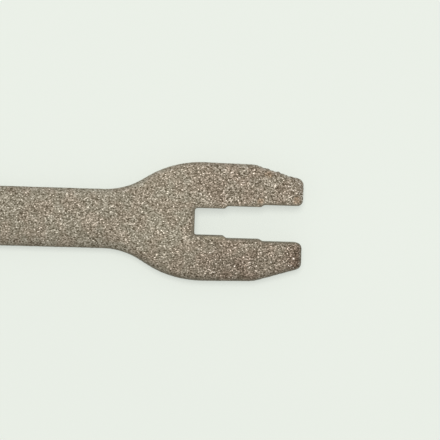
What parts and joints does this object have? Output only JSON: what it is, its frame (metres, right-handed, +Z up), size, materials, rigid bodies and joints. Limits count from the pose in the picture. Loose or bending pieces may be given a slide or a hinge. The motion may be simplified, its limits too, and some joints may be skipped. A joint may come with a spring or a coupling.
{
  "type": "spoke wrench",
  "caption": "Flat double-ended steel spoke wrench with an open fork at each end and stepped jaws for square nipples.",
  "frame": {"origin": "middle of the lower broad face", "axes": "+X along the handle towards the large fork, +Y across the handle, +Z up out of the upper broad face"},
  "size_m": [0.12, 0.0222, 0.004],
  "materials": {
    "blasted_steel": "coarse-grained brown-grey steel as it left the blasting, unpolished, with fine sparkle"
  },
  "bodies": {
    "root": {"wrench": "blasted_steel"}
  },
  "joints": []
}
